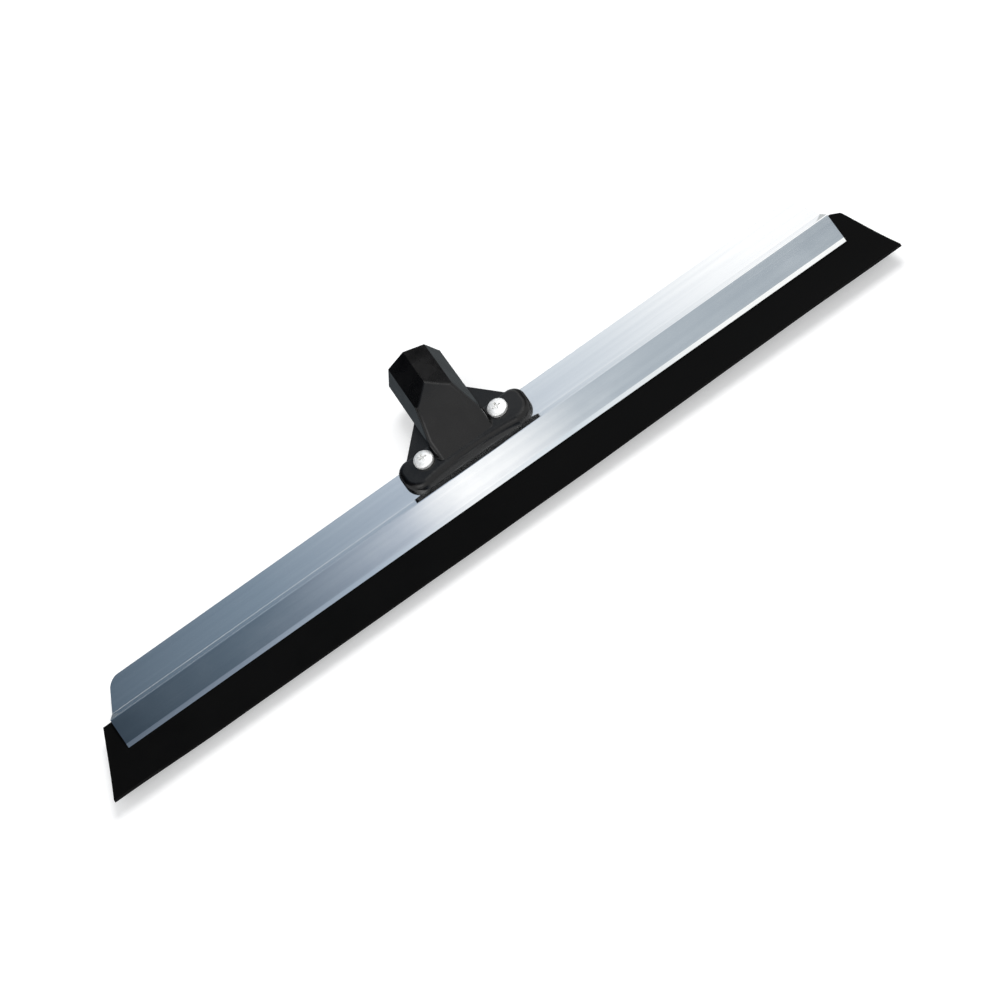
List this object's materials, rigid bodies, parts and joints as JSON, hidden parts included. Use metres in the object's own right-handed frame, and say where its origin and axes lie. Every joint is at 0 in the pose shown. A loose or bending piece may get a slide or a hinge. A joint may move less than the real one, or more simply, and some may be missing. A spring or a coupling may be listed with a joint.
{
  "type": "floor squeegee head",
  "caption": "Long straight floor squeegee head: thin black rubber blade with slanted ends in a folded bright aluminium holder, with a screwed-on black octagonal handle socket.",
  "frame": {"origin": "bottom centre of the bounding box, the head lying on its back on its screw ends", "axes": "+X to the right along the blade seen from the front, +Y from the working edge towards the handle, +Z out of the holder's front face"},
  "size_m": [0.6, 0.136, 0.0448],
  "materials": {
    "aluminium": "bright rolled sheet",
    "rubber": "matte",
    "moulding": "semi-gloss moulded",
    "screw_zinc": "zinc plated",
    "washer_zinc": "zinc plated",
    "nut_zinc": "zinc plated"
  },
  "bodies": {
    "root": {"blade_holder": "aluminium", "rubber_blade": "rubber", "handle_socket": "moulding", "screw_left": "screw_zinc", "screw_right": "screw_zinc", "washer_left": "washer_zinc", "washer_right": "washer_zinc", "nut_left": "nut_zinc", "nut_right": "nut_zinc"}
  },
  "joints": []
}
